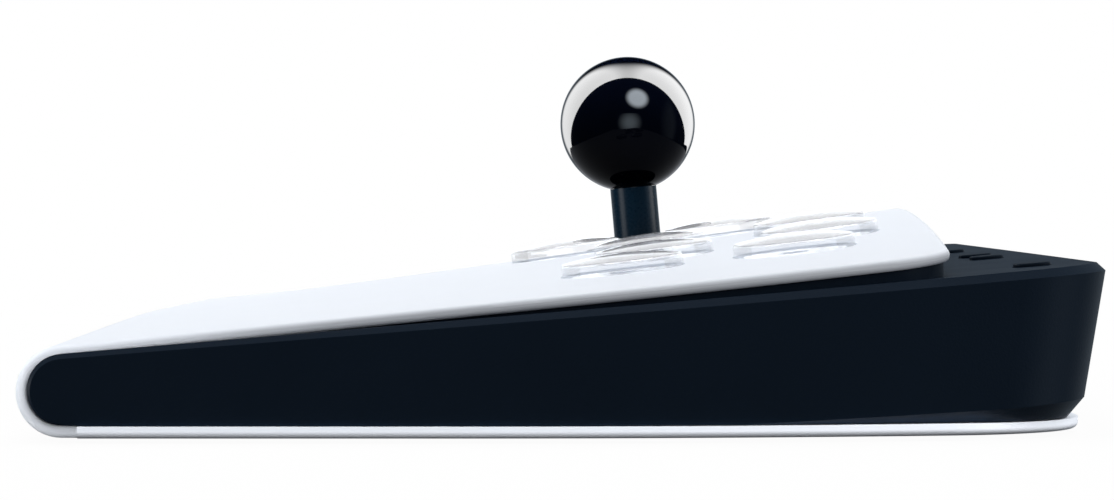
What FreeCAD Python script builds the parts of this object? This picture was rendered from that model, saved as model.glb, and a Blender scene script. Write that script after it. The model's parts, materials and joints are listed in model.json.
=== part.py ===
import FreeCAD, Part
import math
import os

os.makedirs("parts", exist_ok=True)

Vec = FreeCAD.Vector

# Frame: +X to the player's right, +Y to the rear, +Z up, millimetres.
# The origin is on the table, under the middle of the whole stick.

# Overall sizes and fits
width = 380.0
depth = 221.0
foot_proud = 1.0
clearance = 0.3
seat_gap = 0.1
pin_clearance = 0.03

# How far a cutting form reaches past what it cuts, and how close an edge counts as touching
overshoot = 20.0
touch = 0.01

# Top sheet: one bent plate that wraps the front edge and crowns towards the rear
sheet_thickness = 2.4
sheet_side_inset = 4.0
nose_radius_side = 9.15
nose_radius_middle = 9.87
slope_side = 0.100
slope_middle = 0.139
ridge_softness = 0.2
sheet_rear_gap = 29.5
sheet_rear_bow = 5.0
sheet_corner_radius = 16.0
sheet_edge_rounding = 1.0
lip_length = 12.3
section_count = 17

# Plan shape shared by the shell, the sheet and the base plate
taper_start = -20.0
taper_length = 95.0
taper_inwards = 10.0
shell_corner_radius = 24.0
shell_rear_bow = 0.3

# Main shell: the black moulded tub
wall = 2.6
shell_front_gap = 2.6
shell_nose_radius = 7.1
shell_slope = 0.0843
shell_chamfer = 1.8
rear_lean = 5.0
side_lean = 1.5
foot_bevel_length = 3.2
foot_bevel_height = 3.6
foot_bevel_run = 76.0
collar_inset = 1.2
collar_thickness = 4.4
collar_front_inset = 25.0
boss_radius = 4.0
boss_hole_depth = 12.0

# Base plate, its feet and its screws
base_thickness = 2.4
base_seam = 0.3
base_inset = 1.0
base_rear_gap = 4.2
base_rear_bow = 1.0
base_corner_radius = 36.0
base_edge_rounding = 1.3
foot_radius = 9.0
foot_recess = 0.8
foot_side_inset = 52.0
foot_end_inset = 28.0
screw_radius = 1.5
screw_head_radius = 3.0
screw_head_height = 1.6
screw_length = 10.0
screw_socket_radius = 1.3
screw_socket_depth = 1.0
boss_side_inset = 9.5
boss_front_gaps = (48.5, 132.5)
rear_boss_side_inset = 30.0
rear_boss_gap = 22.0

# Play buttons, two staggered rows of four
cap_radius = 13.1
cap_rim = 2.6
cap_dome = 1.2
cap_edge_rounding = 0.7
cap_roof = 2.2
cap_skirt_wall = 2.0
cap_flange = 1.1
cap_flange_gap = 0.6
cap_flange_height = 1.3
cap_stem_radius = 3.0
cap_stem_engaged = 1.5
button_travel = 2.0
button_rows = 2
button_first_x = 12.0
button_pitch = 36.0
button_row_pitch = 36.8
button_rear_gaps = (81.7, 62.1, 62.1, 69.7)
housing_seat_gap = 0.5
housing_wall = 1.6
housing_depth = 13.6
housing_floor = 1.6
switch_side = 15.6
switch_height = 5.6
switch_well_radius = 3.6

# Lever
lever_x = -73.0
lever_rear_gap = 62.76
lever_lean = 0.0887
lever_tilt = 8.0
ball_radius = 17.5
ball_height = 32.1
ball_bore_depth = 14.0
sleeve_radius = 6.0
shaft_radius = 4.0
shaft_tip_radius = 3.0
lever_hole_radius = 10.2
bezel_bore_radius = 9.3
bezel_flange_radius = 13.5
bezel_flange_height = 0.9
pivot_depth = 11.0
plate_depth = 5.5
plate_thickness = 2.0
plate_length = 64.0
plate_width = 46.0
plate_hole_radius = 15.5
standoff_radius = 3.5
standoff_x = 26.0
standoff_y = 17.0
lever_screw_head_radius = 2.8
lever_screw_head_height = 1.8
lever_screw_grip = 1.2
lever_box_side = 40.0
lever_box_wall = 2.5
lever_box_depth = 24.0
ring_inner_radius = 9.2
ring_outer_radius = 13.0
ring_height = 5.0
trunnion_radius = 2.0
hub_radius = 7.0
hub_height = 6.0
cross_pin_radius = 1.75
spring_wire_radius = 0.5
spring_coils = 3.0
spring_steps = 16
spring_sides = 8
spring_radius = 5.6
actuator_radius = 6.0
actuator_height = 5.0
clip_thickness = 0.8
clip_groove_radius = 3.3
clip_mouth = 5.3
lever_switch_width = 12.8
lever_switch_depth = 5.6
lever_switch_height = 6.2
lever_switch_reach = 8.7
lever_switch_nub_radius = 1.0
lever_switch_nub = 0.45
board_thickness = 1.6
lever_board_hole_radius = 7.6
gate_thickness = 2.0

# Function buttons on the rear deck
function_x = (-46.0, 22.0, 48.0, 142.0)
function_rear_gap = 14.0
function_length = 12.0
function_width = 7.3
function_proud = 0.75
function_travel = 0.5
function_flange = 0.8
function_flange_height = 0.9
function_dome_side = 4.0
function_dome_height = 0.6
function_board_margin = 8.0
function_board_width = 12.6
function_post_radius = 2.5

# Electronics on the base plate
main_board_length = 90.0
main_board_width = 42.0
main_board_height = 5.0
main_board_rear_gap = 9.4
board_post_radius = 2.6
board_post_inset = 5.0
chip_side = 14.0
chip_height = 1.8
board_screw_radius = 1.0
board_screw_head_radius = 2.1
board_screw_head_height = 1.4
socket_width = 8.9
socket_height = 3.2
socket_length = 7.4
socket_wall = 0.35
socket_back = 1.0
socket_tongue_width = 6.6
socket_tongue_height = 0.7
socket_tongue_recess = 1.0
socket_recess = 0.6
battery_length = 46.0
battery_width = 72.0
battery_height = 9.0
battery_x = -134.0
battery_front_gap = 88.5
battery_rounding = 2.0

# Values that follow from the sizes above
half_width = width / 2
front = -depth / 2
rear = depth / 2
base_top = foot_proud + base_thickness
shell_bottom = base_top + 2 * seat_gap
sheet_half_width = half_width - sheet_side_inset
sheet_rear = rear - sheet_rear_gap
lever_y = sheet_rear - lever_rear_gap
battery_y = front + battery_front_gap
rear_boss_x = half_width - rear_boss_side_inset
taper_radius = (taper_inwards ** 2 + taper_length ** 2) / (2 * taper_inwards)
high = 4 * depth
cap_bottom = -(sheet_thickness + cap_flange_gap + cap_flange_height)
cap_hole_radius = cap_radius + clearance
housing_bore_radius = cap_radius + cap_flange + clearance
housing_top = -(sheet_thickness + housing_seat_gap)
housing_bottom = housing_top - housing_depth
switch_top = housing_bottom + housing_floor + switch_height
switch_well_depth = cap_stem_engaged + button_travel + 2 * clearance
lever_box_top = -(plate_depth + plate_thickness)
tilt_tangent = math.tan(math.radians(lever_tilt))
hub_top = -pivot_depth + hub_height / 2
hub_bottom = -pivot_depth - hub_height / 2
lever_board_top = -lever_box_depth
lever_board_bottom = lever_board_top - board_thickness
gate_bottom = lever_board_bottom - gate_thickness
shaft_bottom = gate_bottom + seat_gap
clip_bottom = lever_board_top + seat_gap
actuator_bottom = clip_bottom + clip_thickness + pin_clearance
actuator_top = actuator_bottom + actuator_height
function_y = rear - function_rear_gap
function_bottom = -(wall + clearance + function_flange_height)
function_dome_top = function_bottom - function_travel - clearance
function_board_top = function_dome_top - function_dome_height
main_board_top = base_top + main_board_height + board_thickness
main_board_rear = rear - main_board_rear_gap
main_board_middle = main_board_rear - main_board_width / 2
socket_middle = main_board_top + socket_height / 2
socket_mouth = rear - rear_lean - socket_recess


# Small helpers
def cylinder(radius, bottom, top):
    return Part.makeCylinder(radius, top - bottom, Vec(0, 0, bottom))


def tube(outer, inner, bottom, top):
    return cylinder(outer, bottom, top).cut(cylinder(inner, bottom, top))


def block(length, breadth, bottom, top):
    return Part.makeBox(length, breadth, top - bottom, Vec(-length / 2, -breadth / 2, bottom))


def rod(radius, direction, start, end, height):
    """Round bar along direction (x or y unit vector), between two distances from the axis."""
    place = Vec(0, 0, height) + direction * start
    return Part.makeCylinder(radius, end - start, place, direction)


def moved(shape, place):
    copy = shape.copy()
    copy.Placement = place.multiply(copy.Placement)
    return copy


def shifted(shape, x, y, z=0.0):
    return moved(shape, FreeCAD.Placement(Vec(x, y, z), FreeCAD.Rotation()))


def joined(shapes):
    first = shapes[0]
    return first.fuse(shapes[1:]).removeSplitter()


def group(shapes):
    return Part.makeCompound(shapes)


def line(start, end):
    return Part.makeLine(start, end)


def arc(start, middle, end):
    return Part.Arc(start, middle, end).toShape()


def save(name, shape):
    shape.exportStep("parts/" + name + ".step")


# The sheet's form: a nose radius and a slope that change from the sides to the middle
def crown(x):
    """One on the middle ridge, zero at the sheet's side edges."""
    share = x / sheet_half_width
    end = math.hypot(1.0, ridge_softness)
    return (end - math.hypot(share, ridge_softness)) / (end - ridge_softness)


def nose_radius(x):
    return nose_radius_side + (nose_radius_middle - nose_radius_side) * crown(x)


def sheet_slope(x):
    return slope_side + (slope_middle - slope_side) * crown(x)


def sheet_top(x, y):
    """Height of the sheet's upper face over the table."""
    radius = nose_radius(x)
    angle = math.atan(sheet_slope(x))
    tangent_y = front + radius - radius * math.sin(angle)
    tangent_z = foot_proud + radius + radius * math.cos(angle)
    return tangent_z + (y - tangent_y) * sheet_slope(x)


def sheet_normal(x, y):
    step = 0.5
    along_x = (sheet_top(x + step, y) - sheet_top(x - step, y)) / (2 * step)
    normal = Vec(-along_x, -sheet_slope(x), 1)
    normal.normalize()
    return normal


def seat(x, y):
    """Local frame on the sheet: origin on its upper face, +Z out of it."""
    turn = FreeCAD.Rotation(Vec(0, 0, 1), sheet_normal(x, y))
    return FreeCAD.Placement(Vec(x, y, sheet_top(x, y)), turn)


def sheet_curve(x, inset, rear_end, lip_end):
    """Points of one section of the sheet's face: lip end, lip tangent, nose, top tangent, rear."""
    radius = nose_radius(x)
    angle = math.atan(sheet_slope(x))
    centre = Vec(x, front + radius, foot_proud + radius)
    small = radius - inset
    half_turn = (math.pi + angle) / 2
    lip_tangent = centre + Vec(0, 0, -small)
    nose = centre + Vec(0, -small * math.sin(half_turn), -small * math.cos(half_turn))
    top_tangent = centre + Vec(0, -small * math.sin(angle), small * math.cos(angle))
    rise = (rear_end - top_tangent.y) * sheet_slope(x)
    rear_point = Vec(x, rear_end, top_tangent.z + rise)
    lip_point = Vec(x, lip_end, lip_tangent.z)
    return lip_point, lip_tangent, nose, top_tangent, rear_point


def sheet_section(x):
    lip_end = front + lip_length
    lip_a, tangent_a, nose_a, top_a, rear_a = sheet_curve(x, 0.0, rear, lip_end)
    lip_b, tangent_b, nose_b, top_b, rear_b = sheet_curve(x, sheet_thickness, rear, lip_end)
    edges = [line(lip_a, tangent_a), arc(tangent_a, nose_a, top_a), line(top_a, rear_a)]
    edges += [line(rear_a, rear_b), line(rear_b, top_b), arc(top_b, nose_b, tangent_b)]
    edges += [line(tangent_b, lip_b), line(lip_b, lip_a)]
    return Part.Wire(edges)


def outside_section(x):
    """Section of everything outside the sheet's inner face."""
    inset = sheet_thickness + seat_gap
    lip, tangent, nose, top, end = sheet_curve(x, inset, rear + width, front + lip_length + depth)
    low_end = Vec(x, lip.y, -high)
    low_front = Vec(x, front - high, -high)
    high_front = Vec(x, front - high, high)
    high_end = Vec(x, end.y, high)
    edges = [line(lip, tangent), arc(tangent, nose, top), line(top, end), line(end, high_end)]
    edges += [line(high_end, high_front), line(high_front, low_front), line(low_front, low_end)]
    edges += [line(low_end, lip)]
    return Part.Wire(edges)


def stations(half_span):
    """Places across the width, closer together near the middle ridge."""
    steps = [2.0 * i / (section_count - 1) - 1.0 for i in range(section_count)]
    return [half_span * step * math.sqrt(abs(step)) for step in steps]


def outside_of_sheet():
    spots = stations(sheet_half_width + clearance)
    return Part.makeLoft([outside_section(x) for x in spots], True, False)


# The plan outline: straight sides that taper towards a bowed rear edge with round corners
def plan_wire(inset, start, end, bow, corner_radius, height):
    side = half_width - inset
    bend = taper_radius - inset
    bend_centre = Vec(side - bend, taper_start, height)
    bow_radius = (half_width ** 2 + bow ** 2) / (2 * bow)
    bow_centre = Vec(0, end - bow_radius, height)
    reach_bend = bend - corner_radius
    reach_bow = bow_radius - corner_radius
    apart = bow_centre.sub(bend_centre)
    span = apart.Length
    along = (reach_bend ** 2 - reach_bow ** 2 + span ** 2) / (2 * span)
    across = math.sqrt(reach_bend ** 2 - along ** 2)
    unit = apart * (1.0 / span)
    corner = bend_centre + unit * along + Vec(-unit.y, unit.x, 0) * across

    def outwards(centre, point, radius):
        direction = point.sub(centre)
        direction.normalize()
        return centre + direction * radius

    bend_end = outwards(bend_centre, corner, bend)
    bow_end = outwards(bow_centre, corner, bow_radius)
    middle_of_corner = outwards(corner, (bend_end + bow_end) * 0.5, corner_radius)
    bend_start = Vec(side, taper_start, height)
    middle_of_bend = outwards(bend_centre, (bend_start + bend_end) * 0.5, bend)

    def mirror(point):
        return Vec(-point.x, point.y, point.z)

    start_right = Vec(side, start, height)
    edges = [line(mirror(start_right), start_right), line(start_right, bend_start)]
    edges += [arc(bend_start, middle_of_bend, bend_end)]
    edges += [arc(bend_end, middle_of_corner, bow_end)]
    edges += [arc(bow_end, Vec(0, end, height), mirror(bow_end))]
    edges += [arc(mirror(bow_end), mirror(middle_of_corner), mirror(bend_end))]
    edges += [arc(mirror(bend_end), mirror(middle_of_bend), mirror(bend_start))]
    edges += [line(mirror(bend_start), mirror(start_right))]
    return Part.Wire(edges)


def plan_prism(inset, start, end, bow, corner_radius, bottom, top):
    face = Part.Face(plan_wire(inset, start, end, bow, corner_radius, bottom))
    return face.extrude(Vec(0, 0, top - bottom))


# Top sheet
def round_sheet_edges(sheet, outline):
    """Round the upper and lower rims where the sheet is cut to its plan outline."""
    rims = []
    for edge in sheet.Edges:
        middle = edge.valueAt((edge.FirstParameter + edge.LastParameter) / 2)
        on_outline = outline.distToShape(Part.Vertex(middle))[0] < touch
        if on_outline and edge.Length > 2 * sheet_thickness:
            rims.append(edge)
    return sheet.makeFillet(sheet_edge_rounding, rims)


def sheet_outline(bottom, top):
    return plan_prism(sheet_side_inset, front - width, sheet_rear, sheet_rear_bow,
                      sheet_corner_radius, bottom, top)


def top_sheet():
    spots = stations(sheet_half_width + clearance)
    sheet = Part.makeLoft([sheet_section(x) for x in spots], True, False)
    outline = sheet_outline(-high, high)
    sheet = round_sheet_edges(sheet.common(outline), outline.Shells[0])
    drill = cylinder(cap_hole_radius, -overshoot, overshoot)
    holes = [moved(drill, seat(x, y)) for x, y in button_places()]
    holes.append(moved(cylinder(lever_hole_radius, -overshoot, overshoot), seat(lever_x, lever_y)))
    return sheet.cut(holes)


# Main shell
def shell_top(y):
    angle = math.atan(shell_slope)
    tangent_y = shell_nose_y() - shell_nose_radius * math.sin(angle)
    tangent_z = shell_nose_z() + shell_nose_radius * math.cos(angle)
    return tangent_z + (y - tangent_y) * shell_slope


def shell_nose_y():
    return front + shell_front_gap + shell_nose_radius


def shell_nose_z():
    return shell_bottom + shell_nose_radius


def shell_profile(inset):
    """Side view of the shell, drawn inset by a wall, as a slab across the whole width."""
    angle = math.atan(shell_slope)
    radius = shell_nose_radius - inset
    x = -half_width - wall
    centre = Vec(x, shell_nose_y(), shell_nose_z())
    turn = (math.pi / 2 - angle) / 2
    left = centre + Vec(0, -radius, 0)
    middle = centre + Vec(0, -radius * math.cos(turn), radius * math.sin(turn))
    top = centre + Vec(0, -radius * math.sin(angle), radius * math.cos(angle))
    end_y = rear + wall
    end = Vec(x, end_y, top.z + (end_y - top.y) * shell_slope)
    if inset:
        low_front = Vec(x, left.y, foot_proud)
        low_end = Vec(x, end_y, foot_proud)
        edges = [line(low_front, left)]
    else:
        low_turn = centre + Vec(0, -radius * math.sqrt(0.5), -radius * math.sqrt(0.5))
        low_front = centre + Vec(0, 0, -radius)
        low_end = Vec(x, end_y, shell_bottom)
        edges = [arc(low_front, low_turn, left)]
    edges += [arc(left, middle, top), line(top, end), line(end, low_end), line(low_end, low_front)]
    return Part.Face(Part.Wire(edges)).extrude(Vec(width + 2 * wall, 0, 0))


def shell_plan(inset):
    """Plan form of the shell: full size along its chamfer, leaning in towards its foot."""
    full = shell_top(rear) - shell_chamfer
    corner = shell_corner_radius - inset
    wires = []
    for share in (1.0, -1.0):
        height = full - share * (full - shell_bottom)
        side = inset + share * side_lean
        end = rear - inset - share * rear_lean
        wires.append(plan_wire(side, front - width, end, shell_rear_bow, corner, height))
    return Part.makeLoft(wires, True, True)


def bevelled_plan():
    """Plan form whose upper rim is chamfered all round, parallel to the sloping top."""
    def rim(inset, height):
        corner = shell_corner_radius - inset
        return plan_wire(inset, front - width, rear - inset, shell_rear_bow, corner, height)

    upright = Part.makeLoft([rim(0.0, -depth), rim(0.0, -shell_chamfer)], True, True)
    bevel = Part.makeLoft([rim(0.0, -shell_chamfer), rim(2 * shell_chamfer, shell_chamfer)], True, True)
    shear = FreeCAD.Matrix()
    shear.A32 = shell_slope
    shear.A34 = shell_top(0.0)
    return upright.fuse(bevel).transformGeometry(shear)


def nose_bevel(side):
    """Ring cut that bevels one end of the nose."""
    axis = Vec(side, 0, 0)
    length = shell_chamfer + wall
    start = Vec(side * (half_width - shell_chamfer), shell_nose_y(), shell_nose_z())
    ring = Part.makeCylinder(shell_nose_radius + wall, length, start, axis)
    core = Part.makeCone(shell_nose_radius, shell_nose_radius - length, length, start, axis)
    front_half = Part.makeBox(2 * width, depth, depth, Vec(-width, shell_nose_y() - depth, -depth / 2))
    return ring.cut(core).common(front_half)


def foot_plan(inset):
    """Plan form that bevels the shell's foot round the rear, less and less towards the front."""
    def rim(height):
        inwards = inset - foot_bevel_length * height / foot_bevel_height
        end = rear - rear_lean - inwards
        corner = shell_corner_radius - inwards
        return plan_wire(side_lean + inwards, front - width, end, shell_rear_bow, corner, height)

    form = Part.makeLoft([rim(-2 * foot_bevel_height), rim(2 * shell_top(rear))], True, True)
    shear = FreeCAD.Matrix()
    shear.A32 = foot_bevel_height / foot_bevel_run
    shear.A34 = shell_bottom + foot_bevel_height - shear.A32 * rear
    return form.transformGeometry(shear)


def boss_places():
    side = half_width - boss_side_inset
    places = [(sign * side, front + gap) for sign in (-1, 1) for gap in boss_front_gaps]
    return places + [(sign * rear_boss_x, rear - rear_boss_gap) for sign in (-1, 1)]


def deck_seat(x, y):
    """Local frame on the rear deck, +Z out of it."""
    normal = Vec(0, -shell_slope, 1)
    normal.normalize()
    return FreeCAD.Placement(Vec(x, y, shell_top(y)), FreeCAD.Rotation(Vec(0, 0, 1), normal))


def pill(length, breadth, bottom, top):
    """Bar with half-round ends, long side along X."""
    radius = min(length, breadth) / 2
    straight = length - 2 * radius
    middle = block(straight, breadth, bottom, top)
    ends = [shifted(cylinder(radius, bottom, top), side * straight / 2, 0) for side in (-1, 1)]
    return joined([middle] + ends)


def function_post_places():
    return [(function_x[0] + function_x[1]) / 2, (function_x[2] + function_x[3]) / 2]


def collar_opening(inset):
    return plan_prism(sheet_side_inset + inset, front + collar_front_inset + inset, sheet_rear - inset,
                      sheet_rear_bow, sheet_corner_radius, foot_proud, high)


def socket_slot():
    slot = pill(socket_width + 2 * clearance, socket_height + 2 * clearance, -overshoot, overshoot)
    turn = FreeCAD.Rotation(Vec(1, 0, 0), 90)
    return moved(slot, FreeCAD.Placement(Vec(0, rear, socket_middle), turn))


def main_shell():
    outer = shell_profile(0.0).common(shell_plan(0.0)).common(bevelled_plan()).common(foot_plan(0.0))
    outer = outer.cut([nose_bevel(-1), nose_bevel(1)])
    outside = outside_of_sheet()
    body = outer.cut(outside)
    cavity = shell_profile(wall).common(shell_plan(wall)).common(foot_plan(wall))
    opening = collar_opening(collar_inset + collar_thickness)
    collar = collar_opening(collar_inset).cut([opening, cavity, outside])
    boss = cylinder(boss_radius, base_top + seat_gap, high)
    bosses = [shifted(boss, x, y).common(body) for x, y in boss_places()]
    posts = [moved(cylinder(function_post_radius, function_board_top, -wall / 2), deck_seat(x, function_y))
             for x in function_post_places()]
    shell = joined([body.cut([cavity, opening]), collar] + bosses + posts)
    screw_hole = cylinder(screw_radius + seat_gap, 0, base_top + boss_hole_depth)
    holes = [shifted(screw_hole, x, y) for x, y in boss_places()]
    slot = pill(function_length + 2 * clearance, function_width + 2 * clearance, -2 * wall, 2 * wall)
    holes += [moved(slot, deck_seat(x, function_y)) for x in function_x]
    return shell.cut(holes + [socket_slot()])


# Base plate, feet and screws
def base_outline(inset, bottom, top):
    return plan_prism(base_inset + inset, front + lip_length + base_seam, rear - base_rear_gap - inset,
                      base_rear_bow, base_corner_radius - inset, bottom, top)


def foot_places():
    side = half_width - foot_side_inset
    return [(sign * side, end * (depth / 2 - foot_end_inset)) for sign in (-1, 1) for end in (-1, 1)]


def board_post_places():
    reach_x = main_board_length / 2 - board_post_inset
    reach_y = main_board_width / 2 - board_post_inset
    return [(sign * reach_x, main_board_middle + end * reach_y) for sign in (-1, 1) for end in (-1, 1)]


def countersink(play):
    """Outer form of a flat-headed screw's head, from the plate's lower face up."""
    lower = screw_head_radius + play
    return Part.makeCone(lower, screw_radius + play, screw_head_height, Vec(0, 0, foot_proud))


def base_plate():
    plate = base_outline(0.0, foot_proud, base_top)
    lower = [edge for edge in plate.Edges if abs(edge.BoundBox.ZMax - foot_proud) < touch]
    seam = [edge for edge in lower if edge.BoundBox.YMax < front + lip_length + 2 * base_seam]
    rim = [edge for edge in lower if not any(edge.isSame(other) for other in seam)]
    plate = plate.makeFillet(base_edge_rounding, rim)
    top = base_top + main_board_height
    posts = [shifted(cylinder(board_post_radius, base_top - base_thickness / 2, top), x, y)
             for x, y in board_post_places()]
    plate = joined([plate] + posts)
    cuts = [shifted(cylinder(foot_radius, 0, foot_proud + foot_recess), x, y) for x, y in foot_places()]
    for x, y in boss_places():
        cuts.append(shifted(countersink(seat_gap), x, y))
        cuts.append(shifted(cylinder(screw_radius + seat_gap, 0, base_top), x, y))
    for x, y in board_post_places():
        cuts.append(shifted(cylinder(board_screw_radius + seat_gap, base_top, top), x, y))
    return plate.cut(cuts)


def rubber_feet():
    pad = cylinder(foot_radius - seat_gap, 0, foot_proud + foot_recess)
    pad = pad.makeFillet(foot_proud / 3, [edge for edge in pad.Edges if abs(edge.BoundBox.ZMax) < touch])
    return group([shifted(pad, x, y) for x, y in foot_places()])


def base_screws():
    shank = cylinder(screw_radius, foot_proud, foot_proud + screw_length)
    screw = joined([countersink(0.0), shank])
    socket = Part.Face(Part.makePolygon([Vec(screw_socket_radius * math.cos(math.radians(60 * i)),
                                             screw_socket_radius * math.sin(math.radians(60 * i)),
                                             foot_proud) for i in range(7)]))
    screw = screw.cut(socket.extrude(Vec(0, 0, screw_socket_depth)))
    return group([shifted(screw, x, y) for x, y in boss_places()])


# Play buttons
def button_places():
    places = []
    for row in range(button_rows):
        for column, gap in enumerate(button_rear_gaps):
            x = button_first_x + column * button_pitch
            places.append((x, sheet_rear - gap + row * button_row_pitch))
    return places


def button_cap():
    """Clear cap: a shallow dome on a skirt, with a flange below the sheet and a stem."""
    dome_radius = (cap_radius ** 2 + cap_dome ** 2) / (2 * cap_dome)
    dome = Part.makeSphere(dome_radius, Vec(0, 0, cap_rim + cap_dome - dome_radius))
    body = cylinder(cap_radius, cap_bottom, cap_rim + cap_dome).common(dome)
    level = [edge for edge in body.Edges if abs(edge.BoundBox.ZMin - cap_rim) < touch]
    body = body.makeFillet(cap_edge_rounding, [edge for edge in level if edge.Length > cap_radius])
    inside = cap_radius - cap_skirt_wall
    hollow = cylinder(inside, cap_bottom, cap_rim - cap_roof)
    flange = tube(cap_radius + cap_flange, inside, cap_bottom, cap_bottom + cap_flange_height)
    stem = cylinder(cap_stem_radius, switch_top - cap_stem_engaged, cap_rim - cap_roof + cap_dome)
    return joined([body.cut(hollow), flange, stem])


def button_housing():
    cup = cylinder(housing_bore_radius + housing_wall, housing_bottom, housing_top)
    return cup.cut(cylinder(housing_bore_radius, housing_bottom + housing_floor, housing_top))


def button_switch():
    bottom = housing_bottom + housing_floor
    body = block(switch_side, switch_side, bottom, switch_top)
    return body.cut(cylinder(switch_well_radius, switch_top - switch_well_depth, switch_top))


# Lever, built in a local frame whose +Z is the lever's axis and whose origin is in the sheet
def lever_seat():
    normal = Vec(0, -lever_lean, 1)
    normal.normalize()
    turn = FreeCAD.Rotation(Vec(0, 0, 1), normal)
    return FreeCAD.Placement(Vec(lever_x, lever_y, sheet_top(lever_x, lever_y)), turn)


def ball_flat():
    """Height at which the ball is cut flat for its sleeve."""
    return ball_height - math.sqrt(ball_radius ** 2 - sleeve_radius ** 2)


def ball_knob():
    ball = Part.makeSphere(ball_radius, Vec(0, 0, ball_height))
    below = cylinder(ball_radius, ball_height - 2 * ball_radius, ball_flat())
    bore = cylinder(shaft_tip_radius + pin_clearance, ball_flat(), ball_flat() + ball_bore_depth + clearance)
    return ball.cut([below, bore])


def shaft_sleeve():
    bottom = hub_top + pin_clearance
    return tube(sleeve_radius, shaft_radius + pin_clearance, bottom, ball_flat() - pin_clearance)


def lever_shaft():
    shaft = cylinder(shaft_radius, shaft_bottom, ball_flat() - pin_clearance)
    tip = cylinder(shaft_tip_radius, shaft_bottom, ball_flat() + ball_bore_depth)
    groove = tube(2 * shaft_radius, clip_groove_radius, clip_bottom - pin_clearance, actuator_bottom)
    return joined([shaft, tip]).cut(groove)


def pivot_hub():
    hub = tube(hub_radius, shaft_radius + pin_clearance, hub_bottom, hub_top)
    start = (shaft_radius + hub_radius) / 2
    reach = ring_outer_radius - clearance
    pins = [rod(cross_pin_radius, Vec(0, side, 0), start, reach, -pivot_depth) for side in (-1, 1)]
    return joined([hub] + pins)


def gimbal_ring():
    low = -pivot_depth - ring_height / 2
    ring = tube(ring_outer_radius, ring_inner_radius, low, low + ring_height)
    start = (ring_inner_radius + ring_outer_radius) / 2
    reach = lever_box_side / 2 - clearance
    pins = [rod(trunnion_radius, Vec(side, 0, 0), start, reach, -pivot_depth) for side in (-1, 1)]
    bore_radius = cross_pin_radius + pin_clearance
    bore = rod(bore_radius, Vec(0, 1, 0), -overshoot, overshoot, -pivot_depth)
    return joined([ring] + pins).cut(bore)


def return_spring():
    """Open coil spring, its round wire drawn as a many-sided bar."""
    bottom = actuator_top + spring_wire_radius + pin_clearance
    top = hub_bottom - spring_wire_radius - pin_clearance
    steps = int(spring_coils * spring_steps)
    sections = []
    for step in range(steps + 1):
        turn = 2 * math.pi * step / spring_steps
        outwards = Vec(math.cos(turn), math.sin(turn), 0)
        middle = outwards * spring_radius + Vec(0, 0, bottom + (top - bottom) * step / steps)
        corners = []
        for side in range(spring_sides + 1):
            angle = 2 * math.pi * side / spring_sides
            across = outwards * (spring_wire_radius * math.cos(angle))
            corners.append(middle + across + Vec(0, 0, spring_wire_radius * math.sin(angle)))
        sections.append(Part.makePolygon(corners))
    return Part.makeLoft(sections, True, True)


def actuator():
    return tube(actuator_radius, shaft_radius + pin_clearance, actuator_bottom, actuator_top)


def retaining_clip():
    top = clip_bottom + clip_thickness
    ring = tube(actuator_radius, clip_groove_radius + pin_clearance, clip_bottom, top)
    mouth = block(actuator_radius, clip_mouth, clip_bottom, top)
    return ring.cut(shifted(mouth, (actuator_radius + shaft_tip_radius) / 2, 0))


def lever_bezel():
    """Ring that lines the lever's hole, with a thin flange lying on the sheet."""
    flange = tube(bezel_flange_radius, bezel_bore_radius, seat_gap, bezel_flange_height)
    rim = [edge for edge in flange.Edges if abs(edge.BoundBox.ZMin - bezel_flange_height) < touch]
    flange = flange.makeFillet(bezel_flange_height / 3, rim)
    liner = tube(lever_hole_radius - seat_gap, bezel_bore_radius, -sheet_thickness, bezel_flange_height / 2)
    return joined([flange, liner])


def standoff_places():
    return [(i * standoff_x, j * standoff_y) for i in (-1, 1) for j in (-1, 1)]


def lever_standoffs():
    place = lever_seat()
    outside = outside_of_sheet()
    pillar = tube(standoff_radius, screw_radius + seat_gap, -plate_depth, overshoot)
    return group([moved(shifted(pillar, x, y), place).cut(outside).Solids[0] for x, y in standoff_places()])


def lever_mount_plate():
    plate = block(plate_length, plate_width, lever_box_top, -plate_depth)
    upright = [edge for edge in plate.Edges if abs(edge.BoundBox.ZLength - plate_thickness) < touch]
    plate = plate.makeFillet(standoff_radius, upright)
    holes = [shifted(cylinder(screw_radius + seat_gap, lever_box_top, -plate_depth), x, y)
             for x, y in standoff_places()]
    return plate.cut(holes + [cylinder(plate_hole_radius, lever_box_top, -plate_depth)])


def lever_screws():
    head = cylinder(lever_screw_head_radius, lever_box_top - lever_screw_head_height, lever_box_top)
    shank = cylinder(screw_radius, lever_box_top, -plate_depth + lever_screw_grip)
    screw = joined([head, shank])
    return group([shifted(screw, x, y) for x, y in standoff_places()])


def lever_housing():
    inner = lever_box_side - 2 * lever_box_wall
    box = block(lever_box_side, lever_box_side, lever_board_top, lever_box_top)
    box = box.cut(block(inner, inner, lever_board_top, lever_box_top))
    bore = rod(trunnion_radius + pin_clearance, Vec(1, 0, 0), -lever_box_side, lever_box_side, -pivot_depth)
    return box.cut(bore)


def lever_switch():
    """One switch block standing on the board, its nub facing the actuator along +X."""
    block_shape = Part.makeBox(lever_switch_depth, lever_switch_width, lever_switch_height,
                               Vec(lever_switch_reach, -lever_switch_width / 2, lever_board_top))
    height = (actuator_bottom + actuator_top) / 2
    start = lever_switch_reach - lever_switch_nub
    end = lever_switch_reach + lever_switch_nub_radius
    nub = rod(lever_switch_nub_radius, Vec(1, 0, 0), start, end, height)
    return joined([block_shape, nub])


def lever_board():
    board = block(lever_box_side, lever_box_side, lever_board_bottom, lever_board_top)
    return board.cut(cylinder(lever_board_hole_radius, lever_board_bottom, lever_board_top))


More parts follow.
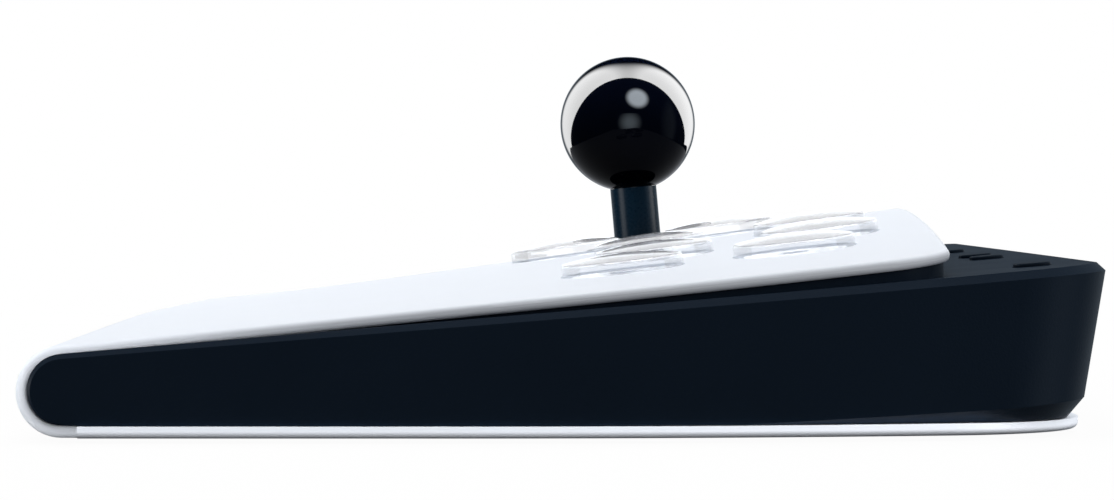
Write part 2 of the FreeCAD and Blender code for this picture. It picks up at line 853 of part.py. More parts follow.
def restrictor_gate():
    arm = -gate_bottom - pivot_depth
    opening = 2 * (shaft_radius + arm * tilt_tangent + clearance + seat_gap)
    gate = block(lever_box_side, lever_box_side, gate_bottom, lever_board_bottom)
    return gate.cut(block(opening, opening, gate_bottom, lever_board_bottom))


# Function buttons and their board, in the rear deck's local frame
def function_button():
    button = pill(function_length, function_width, function_bottom, function_proud)
    rim = [edge for edge in button.Edges if abs(edge.BoundBox.ZMin - function_proud) < touch]
    button = button.makeFillet(function_proud / 2, rim)
    wider = 2 * (function_flange + clearance)
    flange_top = function_bottom + function_flange_height
    flange = pill(function_length + wider, function_width + wider, function_bottom, flange_top)
    return joined([button, flange])


def function_board():
    left = function_x[0] - function_board_margin
    right = function_x[-1] + function_board_margin
    bottom = function_board_top - board_thickness
    board = block(right - left, function_board_width, bottom, function_board_top)
    dome = block(function_dome_side, function_dome_side, function_board_top, function_dome_top)
    middle = (left + right) / 2
    domes = [shifted(dome, x - middle, 0) for x in function_x]
    return moved(joined([board] + domes), deck_seat(middle, function_y))


# Electronics on the base plate
def main_board():
    bottom = base_top + main_board_height
    board = shifted(block(main_board_length, main_board_width, bottom, main_board_top), 0, main_board_middle)
    holes = [shifted(cylinder(board_screw_radius + seat_gap, bottom, main_board_top), x, y)
             for x, y in board_post_places()]
    chip = block(chip_side, chip_side, main_board_top, main_board_top + chip_height)
    chips = [shifted(chip, sign * main_board_length / 4, main_board_middle) for sign in (-1, 1)]
    return joined([board.cut(holes)] + chips)


def board_screws():
    head = cylinder(board_screw_head_radius, main_board_top, main_board_top + board_screw_head_height)
    shank = cylinder(board_screw_radius, base_top + seat_gap, main_board_top)
    screw = joined([head, shank])
    return group([shifted(screw, x, y) for x, y in board_post_places()])


def usb_socket():
    """Open metal mouth with a tongue, facing the rear from the edge of the main board."""
    outer = pill(socket_width, socket_height, 0, socket_length)
    mouth_width = socket_width - 2 * socket_wall
    mouth_height = socket_height - 2 * socket_wall
    inner = pill(mouth_width, mouth_height, socket_back, socket_length)
    tongue = block(socket_tongue_width, socket_tongue_height, 0, socket_length - socket_tongue_recess)
    turn = FreeCAD.Rotation(Vec(1, 0, 0), -90)
    place = FreeCAD.Placement(Vec(0, socket_mouth - socket_length, socket_middle), turn)
    return moved(joined([outer.cut(inner), tongue]), place)


def battery_pack():
    pack = block(battery_length, battery_width, base_top + seat_gap, base_top + seat_gap + battery_height)
    pack = pack.makeFillet(battery_rounding, pack.Edges)
    return shifted(pack, battery_x, battery_y)


def write_parts():
    save("top_sheet", top_sheet())
    save("main_shell", main_shell())
    save("base_plate", base_plate())
    save("rubber_feet", rubber_feet())
    save("base_screws", base_screws())
    for number, (x, y) in enumerate(button_places(), 1):
        place = seat(x, y)
        save("button_cap_%d" % number, moved(button_cap(), place))
        save("button_housing_%d" % number, moved(button_housing(), place))
        save("button_switch_%d" % number, moved(button_switch(), place))
    save("lever_bezel", moved(lever_bezel(), seat(lever_x, lever_y)))
    save("lever_standoffs", lever_standoffs())
    place = lever_seat()
    pieces = (ball_knob, shaft_sleeve, lever_shaft, pivot_hub, gimbal_ring, return_spring, actuator,
              retaining_clip, lever_mount_plate, lever_screws, lever_housing, lever_board, restrictor_gate)
    for piece in pieces:
        save(piece.__name__, moved(piece(), place))
    for number in range(4):
        turn = FreeCAD.Placement(Vec(), FreeCAD.Rotation(Vec(0, 0, 1), 90 * number))
        save("lever_switch_%d" % (number + 1), moved(moved(lever_switch(), turn), place))
    for number, x in enumerate(function_x, 1):
        save("function_button_%d" % number, moved(function_button(), deck_seat(x, function_y)))
    save("function_board", function_board())
    save("main_board", main_board())
    save("board_screws", board_screws())
    save("usb_socket", usb_socket())
    save("battery_pack", battery_pack())


write_parts()
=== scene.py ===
import json
import math

import bmesh
import bpy
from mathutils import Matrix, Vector


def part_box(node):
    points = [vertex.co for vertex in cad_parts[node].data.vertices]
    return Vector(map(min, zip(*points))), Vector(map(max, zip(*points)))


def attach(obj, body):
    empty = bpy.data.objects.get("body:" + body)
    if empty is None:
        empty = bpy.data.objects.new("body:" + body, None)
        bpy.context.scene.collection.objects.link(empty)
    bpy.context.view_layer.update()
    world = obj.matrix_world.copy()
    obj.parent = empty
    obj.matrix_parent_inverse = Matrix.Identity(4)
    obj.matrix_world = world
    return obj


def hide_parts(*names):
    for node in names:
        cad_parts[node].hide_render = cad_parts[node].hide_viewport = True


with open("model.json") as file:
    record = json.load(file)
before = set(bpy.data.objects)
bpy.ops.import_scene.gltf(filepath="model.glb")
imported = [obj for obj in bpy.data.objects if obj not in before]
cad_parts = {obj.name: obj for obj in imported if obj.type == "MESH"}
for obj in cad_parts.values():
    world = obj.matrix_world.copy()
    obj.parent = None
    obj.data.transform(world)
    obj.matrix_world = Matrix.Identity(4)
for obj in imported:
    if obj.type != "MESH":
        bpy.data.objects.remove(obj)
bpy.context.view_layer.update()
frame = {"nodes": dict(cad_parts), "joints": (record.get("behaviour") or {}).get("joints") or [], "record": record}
nodes = frame["nodes"]

# Lengths are in metres, in the frame of the part, and lamp powers in watts

# The photograph's camera, with its lens and sensor in millimetres
camera_place = Vector((1.020, -0.0022, 0.0499))
camera_aim = Vector((-1.0, -0.0007, -0.0138))
camera_lens = 135.7
camera_sensor = 36.0
camera_near_limit = 0.01

# Ball, bored for the shaft and seated on the sleeve
ball_radius = 0.01749
ball_neck_radius = 0.006
ball_bore_radius = 0.00303
ball_bore_depth = 0.0143
ball_seat = 0.00006
ball_arc_steps = 72
ball_turn_steps = 144

# Button caps, with the rim above the sheet and the flange, skirt and stem below it
cap_count = 8
cap_radius = 0.0131
cap_rim = 0.0026
cap_dome = 0.0012
cap_rounding = 0.0007
cap_roof = 0.0029
cap_skirt_wall = 0.002
cap_flange = 0.0011
cap_flange_top = 0.003
cap_bottom = 0.0043
cap_stem_radius = 0.003
cap_stem_bottom = 0.0108
cap_rounding_steps = 8
cap_dome_steps = 16
cap_turn_steps = 96

# Grip pads under the base
pad_radius = 0.0089
pad_thickness = 0.0018
pad_sides = 72
rib_height = 0.0004
rib_width = 0.0007
rib_count = 9

# Edges of turned pieces that are sharper than this stay crisp
crisp_angle = math.radians(35.0)

# Floor: its grey to the eye and as a bounce of light, and where it fades to plain white
floor_reach = 6.0
floor_seen = 0.95
floor_bounce = 0.12
floor_plain = 0.96
floor_fade = (0.28, 0.7)

# Sky: strengths as a light and in reflections, and the directions between which they change
white = (1.0, 1.0, 1.0)
sky_horizon = 0.09
sky_zenith = 1.0
front_glow = 0.115
rear_side_glow = 0.5
rear_low_glow = 0.48
right_glow = 1.4
rear_lean = 0.4
rear_fade = (0.46, 0.58)
rear_low_fade = (0.18, 0.40)
rear_side_fade = (0.25, 0.6)
right_forward_fade = (-0.10, 0.15)
right_side_fade = (0.80, 0.97)
mirrored_tint = (0.82, 0.96, 1.08)

# Lamps of the studio: the first lights all, and each group below it only its own pieces
overhead = dict(place=(-0.25, 0.0, 1.3), size=(1.2, 1.4), power=7.6, mirrored=False)
lamp_groups = {
    "lit_low": {
        "low_fill_box": dict(place=(0.45, -0.02, 0.42), aim=(0.19, 0.0, 0.0),
                             size=(0.1, 1.2), power=4.3, mirrored=False),
        "end_fill_box": dict(place=(0.27, 0.5, 0.36), aim=(0.15, 0.1, 0.0),
                             size=(0.1, 0.4), power=3.4, mirrored=False),
    },
    "lit_edges": {
        "nose_fill_box": dict(place=(0.25, -0.155, 0.002), aim=(0.186, -0.096, 0.004),
                              size=(0.04, 0.04), power=0.008, spread=50.0, mirrored=False),
        "edge_fill_box": dict(place=(0.29, 0.14, 0.02), aim=(0.186, 0.09, 0.03),
                              size=(0.04, 0.04), power=0.02, mirrored=False),
    },
    "lit_sheet": {
        "sheet_sheen_box": dict(place=(-1.6, 0.0, 0.3), aim=(0.0, 0.0, 0.04),
                                size=(2.4, 0.6), power=7.2, mirrored_only=True),
    },
    "lit_shell": {
        "nose_strip_box": dict(place=(0.186, -0.6, 0.02), aim=(0.186, -0.1, 0.015),
                               size=(0.1, 0.1), power=0.9),
    },
    "lit_caps": {
        "cap_rear_box": dict(place=(-1.0, 0.0, 0.32), aim=(0.06, 0.03, 0.04),
                             size=(2.0, 0.64), power=5.2),
        "cap_fill_box": dict(place=(0.8, 0.0, 0.15), aim=(0.06, 0.0, 0.04),
                             size=(0.2, 0.6), power=1.6, mirrored=False),
        "cap_gleam_box": dict(place=(0.06, 0.03, 0.7), aim=(0.06, 0.03, 0.04),
                              size=(0.5, 0.5), power=6.0, mirrored_only=True),
    },
    "lit_sleeve": {
        "sleeve_right_box": dict(around="shaft_sleeve", place=(-0.06, 0.49, 0.0),
                                 size=(0.22, 0.5), power=1.7),
        "sleeve_left_box": dict(around="shaft_sleeve", place=(0.20, -0.46, 0.0),
                                size=(0.22, 0.5), power=2.4),
    },
}

# Boxes that the ball mirrors: a broad one behind and above, a round and a square one in front
rear_box = dict(around="ball_knob", place=(-0.5124, 0.0, 0.3126), size=(4.0, 2.42), power=16.4,
                shape="ELLIPSE")
round_box = dict(around="ball_knob", place=(0.68, 0.250, 0.688), size=(0.74, 0.74), power=190.0,
                 shape="DISK", colour=(0.82, 0.91, 1.0))
square_box = dict(around="ball_knob", place=(0.99, 0.05, 0.03), size=(0.80, 0.56), power=36.0,
                  colour=(0.75, 0.89, 1.0))
round_box_fade = (0.18, 0.37)
square_box_fade = (0.04, 0.42)
crescent_fade = (0.76, 1.12)
crescent_flatness = 4.0
crescent_slow_gain = 10.0
crescent_steep_gain = 750.0


class Wire:
    """One output of a node tree; arithmetic on it adds Math nodes."""

    def __init__(self, tree, socket):
        self.tree = tree
        self.socket = socket

    def maths(self, operation, first, second=0.0):
        return self.tree.node("Math", {"operation": operation}, {0: first, 1: second})

    def __add__(self, other):
        return self.maths("ADD", self, other)

    def __radd__(self, other):
        return self.maths("ADD", other, self)

    def __sub__(self, other):
        return self.maths("SUBTRACT", self, other)

    def __rsub__(self, other):
        return self.maths("SUBTRACT", other, self)

    def __mul__(self, other):
        return self.maths("MULTIPLY", self, other)

    def __rmul__(self, other):
        return self.maths("MULTIPLY", other, self)

    def __truediv__(self, other):
        return self.maths("DIVIDE", self, other)

    def above(self, low, high):
        """Zero below low, one above high, smooth between them."""
        settings = {"interpolation_type": "SMOOTHSTEP"}
        inputs = {"Value": self, "From Min": low, "From Max": high}
        return self.tree.node("MapRange", settings, inputs)

    def larger(self, other):
        return self.maths("MAXIMUM", self, other)

    def size(self):
        return self.maths("ABSOLUTE", self)

    def root(self):
        return self.maths("SQRT", self)


class Tree:
    """A node tree that is emptied and then filled by its node method."""

    def __init__(self, node_tree):
        self.links = node_tree.links
        self.nodes = node_tree.nodes
        self.nodes.clear()

    def put(self, socket, value):
        if isinstance(value, Wire):
            self.links.new(value.socket, socket)
        else:
            socket.default_value = value

    def node(self, kind, settings=None, inputs=None, output=0):
        """A node by its type, with its settings and the values or wires of its sockets."""
        made = self.nodes.new(kind if "Node" in kind else "ShaderNode" + kind)
        for name, value in (settings or {}).items():
            setattr(made, name, value)
        for name, value in (inputs or {}).items():
            for single in value if isinstance(value, list) else [value]:
                self.put(made.inputs[name], single)
        return Wire(self, made.outputs[output]) if made.outputs else made

    def place(self):
        """Object coordinates, in metres."""
        return self.node("TexCoord", output="Object")

    def noise(self, scale, detail):
        inputs = {"Vector": self.place(), "Scale": scale, "Detail": detail}
        return self.node("TexNoise", {}, inputs, "Fac")

    def tint(self, share, first, second):
        """Opaque colour between two, by a share."""
        inputs = {0: share, 6: (*first, 1.0), 7: (*second, 1.0)}
        return self.node("Mix", {"data_type": "RGBA"}, inputs, 2)

    def bump(self, height, distance, strength):
        inputs = {"Height": height, "Distance": distance, "Strength": strength}
        return self.node("Bump", {}, inputs)

    def parts(self, vector):
        """The X, Y and Z of a vector, by name."""
        return outputs_of(self.node("SeparateXYZ", {}, {"Vector": vector}))

    def vector_maths(self, operation, first, second=None, output=0):
        inputs = {0: first} if second is None else {0: first, 1: second}
        return self.node("VectorMath", {"operation": operation}, inputs, output)


def shader_tree(owner):
    owner.use_nodes = True
    return Tree(owner.node_tree)


def outputs_of(wire):
    """All the outputs of the node that a wire comes from, by name."""
    return {socket.name: Wire(wire.tree, socket) for socket in wire.socket.node.outputs}


def finish_of(name, build):
    """A material whose Principled shader takes what build gives for its sockets."""
    material = bpy.data.materials.new(name)
    tree = shader_tree(material)
    shader = tree.node("BsdfPrincipled", {}, build(tree))
    tree.node("OutputMaterial", {}, {"Surface": shader})
    return material


# Finishes
def satin(colour, roughness, grain, depth, level, spread):
    """Moulded plastic: a fine spark-eroded grain and a faint drift of colour and gloss."""
    def build(tree):
        drift = tree.noise(scale=38.0, detail=3.0)
        fine = tree.noise(scale=grain, detail=2.0)
        dark = [channel * (1.0 - spread) for channel in colour]
        light = [min(1.0, channel * (1.0 + spread)) for channel in colour]
        gloss_drift = 0.12 * (drift - 0.5)
        gloss_grain = 0.08 * (fine - 0.5)
        return {
            "Base Color": tree.tint(drift, dark, light),
            "Roughness": roughness + gloss_drift + gloss_grain,
            "Specular IOR Level": level,
            "Normal": tree.bump(fine, distance=depth, strength=0.5),
        }
    return build


def clear_plastic(tree):
    """Clear polished plastic with small flow marks; faces that point up are more opaque, which paints the tops
    lighter than the walls.
    """
    wall_opacity = 0.34
    painted_top_opacity = 0.54
    flow = tree.noise(scale=90.0, detail=2.0)
    # Painted light: upward faces get more opacity, so the tops show their whitish colour lit and read lighter than
    # the clear walls
    facing_up = tree.parts(tree.node("NewGeometry", output="Normal"))["Z"].above(0.3, 0.8)
    return {
        "Base Color": tree.tint(flow, (0.90, 0.91, 0.955), (0.95, 0.955, 0.985)),
        "Alpha": wall_opacity + painted_top_opacity * facing_up,
        "Roughness": 0.05 + 0.03 * flow,
        "Transmission Weight": 0.8,
        "IOR": 1.42,
        "Normal": tree.bump(flow, distance=0.00002, strength=0.005),
    }


def polished_black(tree):
    """Deep black of the ball, with the slightest orange peel."""
    peel = tree.noise(scale=160.0, detail=2.0)
    return {
        "Base Color": tree.tint(peel, (0.00003, 0.00006, 0.0002), (0.00005, 0.0001, 0.0003)),
        "Roughness": 0.03 + 0.03 * peel,
        "Specular IOR Level": 0.03,
        "Normal": tree.bump(peel, distance=0.00002, strength=0.05),
    }


def plated_steel(tree):
    """Dull plating of the screws and plates."""
    brushed = tree.noise(scale=700.0, detail=3.0)
    return {
        "Base Color": tree.tint(brushed, (0.48, 0.49, 0.51), (0.62, 0.63, 0.65)),
        "Metallic": 1.0,
        "Roughness": 0.26 + 0.16 * brushed,
        "Normal": tree.bump(brushed, distance=0.00003, strength=0.2),
    }


def lacquered_board(tree):
    """Green solder lacquer with a weave of the glass cloth below it."""
    bands = {"Vector": tree.place(), "Scale": 260.0}
    weave = tree.node("TexWave", {"wave_type": "BANDS"}, bands)
    drift = tree.noise(scale=60.0, detail=2.0)
    return {
        "Base Color": tree.tint(drift, (0.008, 0.075, 0.04), (0.012, 0.11, 0.06)),
        "Roughness": 0.3 + 0.1 * drift,
        "Normal": tree.bump(weave, distance=0.00002, strength=0.1),
    }


def pad_rubber(tree):
    """Dusty black rubber of the feet."""
    dust = tree.noise(scale=420.0, detail=3.0)
    return {
        "Base Color": tree.tint(dust, (0.018, 0.018, 0.02), (0.034, 0.034, 0.037)),
        "Roughness": 0.78 + 0.14 * dust,
        "Specular IOR Level": 0.3,
        "Normal": tree.bump(dust, distance=0.00008, strength=0.4),
    }


def wrapped_film(tree):
    """Creased dark blue film round the battery."""
    crease = tree.noise(scale=55.0, detail=4.0)
    return {
        "Base Color": tree.tint(crease, (0.03, 0.045, 0.1), (0.05, 0.07, 0.15)),
        "Roughness": 0.3 + 0.2 * crease,
        "Normal": tree.bump(crease, distance=0.0003, strength=0.4),
    }


finishes = {
    "sheet_white": satin((0.872, 0.915, 0.985), roughness=0.55, grain=2600.0, depth=0.00004,
                         level=0.06, spread=0.012),
    "base_white": satin((0.84, 0.88, 0.95), roughness=0.5, grain=2600.0, depth=0.00004,
                        level=0.2, spread=0.015),
    "shell_black": satin((0.0072, 0.0178, 0.0355), roughness=0.5, grain=1900.0, depth=0.00006,
                         level=0.15, spread=0.12),
    "housing_white": satin((0.82, 0.84, 0.88), roughness=0.4, grain=1500.0, depth=0.00004,
                           level=0.5, spread=0.03),
    "switch_dark": satin((0.62, 0.63, 0.66), roughness=0.45, grain=1500.0, depth=0.00005,
                         level=0.5, spread=0.06),
    "function_dark": satin((0.0050, 0.0120, 0.0240), roughness=0.5, grain=1900.0, depth=0.00005,
                           level=0.13, spread=0.1),
    "sleeve_black": satin((0.0006, 0.0096, 0.0205), roughness=0.28, grain=1500.0, depth=0.00003,
                          level=0.1, spread=0.1),
    "inner_grey": satin((0.20, 0.21, 0.23), roughness=0.5, grain=1200.0, depth=0.00006,
                        level=0.45, spread=0.06),
    "cap_clear": clear_plastic,
    "ball_black": polished_black,
    "screw_steel": plated_steel,
    "plate_steel": plated_steel,
    "board_green": lacquered_board,
    "foot_rubber": pad_rubber,
    "battery_wrap": wrapped_film,
}


def dress_nodes(materials):
    """Every node gets the finish of its material slot."""
    for subpart in frame["record"]["subparts"]:
        mesh = nodes[subpart["node"]].data
        mesh.materials.clear()
        mesh.materials.append(materials[subpart["material_slot"]])


def put_in_scene(name, data):
    """A new object of this name and data, linked to the scene."""
    thing = bpy.data.objects.new(name, data)
    bpy.context.scene.collection.objects.link(thing)
    return thing


# Turned pieces
def turned(name, profile, steps, place, upright):
    """A profile of (radius, height) points, spun about an axis through a place."""
    form = bmesh.new()
    turns = [2.0 * math.pi * step / steps for step in range(steps)]
    circle = [(math.cos(turn), math.sin(turn)) for turn in turns]
    rings = []
    for radius, height in profile:
        if radius:
            spots = [(radius * across, radius * along, height) for across, along in circle]
            rings.append([form.verts.new(spot) for spot in spots])
        else:
            rings.append([form.verts.new((0.0, 0.0, height))] * steps)
    for low, high in zip(rings, rings[1:]):
        for first in range(steps):
            second = (first + 1) % steps
            corners = (low[first], low[second], high[second], high[first])
            form.faces.new(dict.fromkeys(corners))
    bmesh.ops.recalc_face_normals(form, faces=form.faces)
    tilt = Vector((0.0, 0.0, 1.0)).rotation_difference(upright)
    form.transform(tilt.to_matrix().to_4x4())
    bmesh.ops.translate(form, verts=form.verts, vec=place)
    return piece_of(name, form)


def piece_of(name, form):
    """A smooth piece with crisp edges, from a bmesh that is then let go."""
    mesh = bpy.data.meshes.new(name)
    form.to_mesh(mesh)
    form.free()
    mesh.shade_smooth()
    mesh.set_sharp_from_angle(angle=crisp_angle)
    return put_in_scene(name, mesh)


def arc_points(middle, radius, start, end, steps):
    """Points on an arc of a profile, between two angles counted from its outward side."""
    across, up = middle
    angles = [start + (end - start) * step / steps for step in range(steps + 1)]
    return [(across + radius * math.cos(a), up + radius * math.sin(a)) for a in angles]


def on_axis(node, upright, below_top):
    """Point on the axis of a round node, a given distance below its top."""
    points = [vertex.co for vertex in nodes[node].data.vertices]
    across = upright.orthogonal().normalized()
    along = upright.cross(across)

    def middle(direction):
        reach = [point.dot(direction) for point in points]
        return direction * ((min(reach) + max(reach)) / 2)

    top = max(point.dot(upright) for point in points)
    return middle(across) + middle(along) + upright * (top - below_top)


def joint_axis(name):
    joint = next(joint for joint in frame["joints"] if joint["name"] == name)
    return Vector(joint["axis"]).normalized()


def finished(piece, body, node, slot, materials):
    """A made piece in its finish, riding on its body in place of a node."""
    piece.data.materials.append(materials[slot])
    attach(piece, body)
    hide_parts(node)
    return piece


def ball_top(materials):
    """The lever's ball, bored from its neck for the shaft."""
    upright = joint_axis("lever_fore_aft").cross(joint_axis("lever_left_right")).normalized()
    if upright.z < 0.0:
        upright = -upright
    low_angle = -math.acos(ball_neck_radius / ball_radius)
    neck = ball_radius * math.sin(low_angle)
    bore_top = neck + ball_bore_depth
    seat = neck - ball_seat
    profile = [(0.0, bore_top), (ball_bore_radius, bore_top)]
    profile += [(ball_bore_radius, seat), (ball_neck_radius, seat)]
    profile += arc_points((0.0, 0.0), ball_radius, low_angle, math.pi / 2, ball_arc_steps)[:-1]
    profile.append((0.0, ball_radius))
    place = on_axis("ball_knob", upright, ball_radius)
    ball = turned("ball_top", profile, ball_turn_steps, place, upright)
    return finished(ball, "lever", "ball_knob", "ball_black", materials)


def cap_profile():
    """Half section of a cap: stem, roof, skirt, flange, rounded rim and dome."""
    dome_radius = (cap_radius ** 2 + cap_dome ** 2) / (2 * cap_dome)
    dome_middle = cap_rim + cap_dome - dome_radius
    inside = cap_radius - cap_skirt_wall
    outside = cap_radius + cap_flange
    roof = cap_rim - cap_roof
    rim_middle = cap_radius - cap_rounding
    rim_height = dome_middle + math.sqrt((dome_radius - cap_rounding) ** 2 - rim_middle ** 2)
    rim_angle = math.atan2(rim_height - dome_middle, rim_middle)
    rim = arc_points((rim_middle, rim_height), cap_rounding, 0.0, rim_angle, cap_rounding_steps)
    dome = arc_points((0.0, dome_middle), dome_radius, rim_angle, math.pi / 2, cap_dome_steps)
    profile = [(0.0, -cap_stem_bottom), (cap_stem_radius, -cap_stem_bottom)]
    profile += [(cap_stem_radius, roof), (inside, roof), (inside, -cap_bottom)]
    profile += [(outside, -cap_bottom), (outside, -cap_flange_top), (cap_radius, -cap_flange_top)]
    return profile + rim + dome[1:-1] + [(0.0, cap_rim + cap_dome)]


def button_caps(materials):
    profile = cap_profile()
    caps = []
    for number in range(1, cap_count + 1):
        upright = -joint_axis("press_%d" % number)
        node = "button_cap_%d" % number
        place = on_axis(node, upright, cap_rim + cap_dome)
        cap = turned("clear_cap_%d" % number, profile, cap_turn_steps, place, upright)
        caps.append(finished(cap, "button_%d" % number, node, "cap_clear", materials))
    return caps


# Grip pads
def pad_tree(rubber):
    """Geometry nodes that set a pad with straight grip ribs on every point."""
    group = bpy.data.node_groups.new("ribbed_pads", "GeometryNodeTree")
    kinds = {
        "Places": "NodeSocketGeometry",
        "Radius": "NodeSocketFloat",
        "Thickness": "NodeSocketFloat",
        "Rib height": "NodeSocketFloat",
        "Rib width": "NodeSocketFloat",
        "Ribs": "NodeSocketInt",
    }
    keys = {}
    for name, kind in kinds.items():
        socket = group.interface.new_socket(name, in_out="INPUT", socket_type=kind)
        keys[name] = socket.identifier
    group.interface.new_socket("Pads", in_out="OUTPUT", socket_type="NodeSocketGeometry")
    tree = Tree(group)

    def shape(kind, **inputs):
        """A geometry node; an underscore in the name of a socket stands for a space."""
        named = {name.replace("_", " "): value for name, value in inputs.items()}
        return tree.node("GeometryNode" + kind, {}, named)

    given = outputs_of(tree.node("NodeGroupInput"))
    radius = given["Radius"]
    height = given["Rib height"]
    pitch = 2.0 * radius / (given["Ribs"] + 1.0)
    start = tree.node("CombineXYZ", {}, {"X": pitch - radius, "Z": 0.5 * height})
    step = tree.node("CombineXYZ", {}, {"X": pitch})
    row = shape("MeshLine", Count=given["Ribs"], Start_Location=start, Offset=step)
    spot = tree.parts(shape("InputPosition"))["X"]
    chord = 2.0 * (radius * radius - spot * spot).root()
    reach = tree.node("CombineXYZ", {}, {"X": given["Rib width"], "Y": chord, "Z": height})
    bar = shape("MeshCube", Size=(1.0, 1.0, 1.0))
    ribs = shape("InstanceOnPoints", Points=row, Instance=bar, Scale=reach)
    body_height = given["Thickness"] - height
    disc = shape("MeshCylinder", Vertices=pad_sides, Radius=radius, Depth=body_height)
    lift = tree.node("CombineXYZ", {}, {"Z": height + 0.5 * body_height})
    body = shape("Transform", Geometry=disc, Translation=lift)
    pad = shape("JoinGeometry", Geometry=[body, ribs])
    pads = shape("InstanceOnPoints", Points=given["Places"], Instance=pad)
    solid = shape("RealizeInstances", Geometry=pads)
    dressed = shape("SetMaterial", Geometry=solid, Material=rubber)
    tree.node("NodeGroupOutput", {}, {"Pads": dressed})
    return group, keys


def foot_places():
    """Middle of each of the four feet, on the table."""
    low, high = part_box("rubber_feet")
    across = [low.x + pad_radius, high.x - pad_radius]
    along = [low.y + pad_radius, high.y - pad_radius]
    return [(x, y, low.z) for x in across for y in along]


def grip_pads(materials):
    """Ribbed pads at the places of the feet, as one plain mesh."""
    mesh = bpy.data.meshes.new("pad_places")
    mesh.from_pydata(foot_places(), [], [])
    holder = put_in_scene("pad_places", mesh)
    modifier = holder.modifiers.new("pads", "NODES")
    modifier.node_group, keys = pad_tree(materials["foot_rubber"])
    sizes = {
        "Radius": pad_radius,
        "Thickness": pad_thickness,
        "Rib height": rib_height,
        "Rib width": rib_width,
        "Ribs": rib_count,
    }
    for name, value in sizes.items():
        modifier[keys[name]] = value
    solid = holder.evaluated_get(bpy.context.evaluated_depsgraph_get())
    pads = put_in_scene("grip_pads", bpy.data.meshes.new_from_object(solid))
    bpy.data.objects.remove(holder)
    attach(pads, "case")
    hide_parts("rubber_feet")


# Studio
def studio_sky():
    """White to the eye, and as a light brighter upwards.

    Reflections show a dim front, a glow behind, low down and at the sides, and a bright right side.
    """
    world = bpy.data.worlds.new("studio")
    bpy.context.scene.world = world
    tree = shader_tree(world)
    way = tree.parts(tree.node("TexCoord", output="Generated"))
    behind = (rear_lean * way["Z"] - way["X"]).above(*rear_fade)
    low = 1.0 - way["Z"].above(*rear_low_fade)
    aside = way["Y"].size().above(*rear_side_fade)
    rear_sky = (rear_low_glow * low).larger(rear_side_glow * aside)
    right = way["X"].above(*right_forward_fade) * way["Y"].above(*right_side_fade)
    mirrored_sky = front_glow + (rear_sky - front_glow) * behind + right_glow * right
    open_sky = sky_horizon + (sky_zenith - sky_horizon) * way["Z"].larger(0.0)
    path = outputs_of(tree.node("LightPath"))
    mirrored = path["Is Glossy Ray"]
    plain = open_sky + (mirrored_sky - open_sky) * mirrored
    seen = path["Is Camera Ray"].larger(path["Is Transmission Ray"])
    strength = plain + (1.0 - plain) * seen
    colour = tree.tint(mirrored, white, mirrored_tint)
    background = tree.node("Background", {}, {"Color": colour, "Strength": strength})
    tree.node("OutputWorld", {}, {"Surface": background})


def floor_paper():
    """Paper that reads white, keeps a faint contact shadow and is clear from below."""
    material = bpy.data.materials.new("floor_paper")
    tree = shader_tree(material)
    path = outputs_of(tree.node("LightPath"))
    seen = path["Is Camera Ray"].larger(path["Is Transmission Ray"])
    grey = floor_bounce + (floor_seen - floor_bounce) * seen
    paper = tree.node("BsdfDiffuse", {}, {"Color": grey})
    light = tree.node("Emission", {}, {"Color": (*white, 1.0), "Strength": 1.0})
    away = tree.vector_maths("LENGTH", tree.place(), output="Value")
    plain = floor_plain + (1.0 - floor_plain) * away.above(*floor_fade)
    mixed = tree.node("MixShader", {}, {0: plain * seen, 1: paper, 2: light})
    underneath = tree.node("NewGeometry", output="Backfacing")
    clear = tree.node("BsdfTransparent")
    one_sided = tree.node("MixShader", {}, {0: underneath, 1: mixed, 2: clear})
    tree.node("OutputMaterial", {}, {"Surface": one_sided})
    return material


def pale_floor():
    """A square floor that no reflection shows."""
    ends = [(-1, -1), (1, -1), (1, 1), (-1, 1)]
    corners = [(floor_reach * x, floor_reach * y, 0.0) for x, y in ends]
    mesh = bpy.data.meshes.new("floor")
    mesh.from_pydata(corners, [], [(0, 1, 2, 3)])
    mesh.materials.append(floor_paper())
    floor = put_in_scene("floor", mesh)
    floor.visible_glossy = False


def middle_of(node):
    low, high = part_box(node)
    return (low + high) / 2


def lamp(name, place, size, power, aim=(0.0, 0.0, 0.0), around=None, shape="RECTANGLE",
         spread=180.0, colour=white, mirrored=True, mirrored_only=False):
    """An area lamp, placed and aimed from the origin or from the middle of the node around.

    Reflections show it if it is mirrored, and nothing else does if it is mirrored_only.
    """
    data = bpy.data.lights.new(name, "AREA")
    data.shape = shape
    data.size, data.size_y = size
    data.energy = power
    data.spread = math.radians(spread)
    data.color = colour
    made = put_in_scene(name, data)
    origin = middle_of(around) if around else Vector()
    made.location = origin + Vector(place)
    made.rotation_mode = "QUATERNION"
    made.rotation_quaternion = (Vector(aim) - Vector(place)).to_track_quat("-Z", "Y")
    made.visible_glossy = mirrored
    made.visible_diffuse = not mirrored_only
    made.visible_transmission = not mirrored_only
    return made


def only_on(name, lamps, pieces):
    """Lamps that light and show in these pieces alone."""
    lit = bpy.data.collections.new(name)
    for piece in pieces:
        lit.objects.link(piece)
    for single in lamps:
        single.light_linking.receiver_collection = lit


def studio_lamps(caps):
    """The overhead lamp for all pieces, and the groups of lamps for single ones."""
    lit = {
        "lit_low": [nodes["base_plate"]],
        "lit_edges": [nodes["top_sheet"]],
        "lit_sheet": [nodes["top_sheet"]],
        "lit_shell": [nodes["main_shell"]],
        "lit_caps": caps,
        "lit_sleeve": [nodes["shaft_sleeve"]],
    }
    lamp("overhead_box", **overhead)
    for group, boxes in lamp_groups.items():
        lamps = [lamp(name, **values) for name, values in boxes.items()]
        only_on(group, lamps, lit[group])


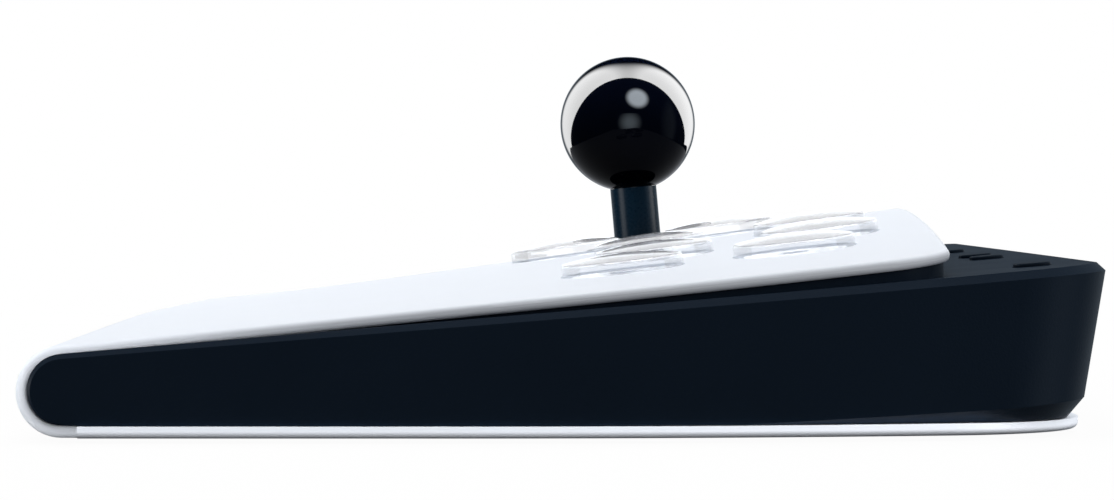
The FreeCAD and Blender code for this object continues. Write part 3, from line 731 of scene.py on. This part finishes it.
def ball_lamps(ball):
    """The boxes that only the polished ball mirrors."""
    broad = lamp("ball_rear_box", **rear_box)
    even_crescent(broad.data, middle_of("ball_knob"))
    small = lamp("ball_round_box", **round_box)
    soft_edge(small, *round_box_fade)
    faint = lamp("ball_square_box", **square_box)
    soft_edge(faint, *square_box_fade)
    only_on("mirrors_boxes", [broad, small, faint], [ball])


def soft_edge(box, inner, outer):
    """A box whose light fades between two distances from its middle."""
    tree = shader_tree(box.data)
    spot = tree.node("NewGeometry", output="Position")
    away = tree.vector_maths("DISTANCE", spot, tuple(box.location), "Value")
    glow = tree.node("Emission", {}, {"Strength": 1.0 - away.above(inner, outer)})
    tree.node("OutputLight", {}, {"Surface": glow})


def even_crescent(light, middle):
    """The broad box is dark low behind the ball, and the ball mirrors the rest evenly bright.

    A ball mirrors more of what lies behind it, so the gain grows towards the front.
    """
    tree = shader_tree(light)
    spot = tree.node("NewGeometry", output="Position")
    away = tree.vector_maths("SUBTRACT", spot, tuple(middle))
    way = tree.parts(tree.vector_maths("NORMALIZE", away))
    facing = (0.5 + 0.5 * way["X"]).root()
    steep = crescent_steep_gain * facing * facing * facing * facing.root()
    gain = 1.0 + crescent_slow_gain * facing + steep
    oval = (way["Z"] * way["Z"] + crescent_flatness * way["Y"] * way["Y"]).root()
    glow = tree.node("Emission", {}, {"Strength": gain * oval.above(*crescent_fade)})
    tree.node("OutputLight", {}, {"Surface": glow})


def photograph_camera():
    data = bpy.data.cameras.new("photograph")
    data.lens = camera_lens
    data.sensor_width = camera_sensor
    data.clip_start = camera_near_limit
    camera = put_in_scene("photograph", data)
    camera.location = camera_place
    camera.rotation_mode = "QUATERNION"
    camera.rotation_quaternion = camera_aim.to_track_quat("-Z", "Y")
    bpy.context.scene.camera = camera


def build_scene():
    bpy.context.scene.view_settings.view_transform = "Standard"
    materials = {slot: finish_of(slot, build) for slot, build in finishes.items()}
    dress_nodes(materials)
    ball = ball_top(materials)
    caps = button_caps(materials)
    grip_pads(materials)
    studio_sky()
    pale_floor()
    studio_lamps(caps)
    ball_lamps(ball)
    photograph_camera()


build_scene()
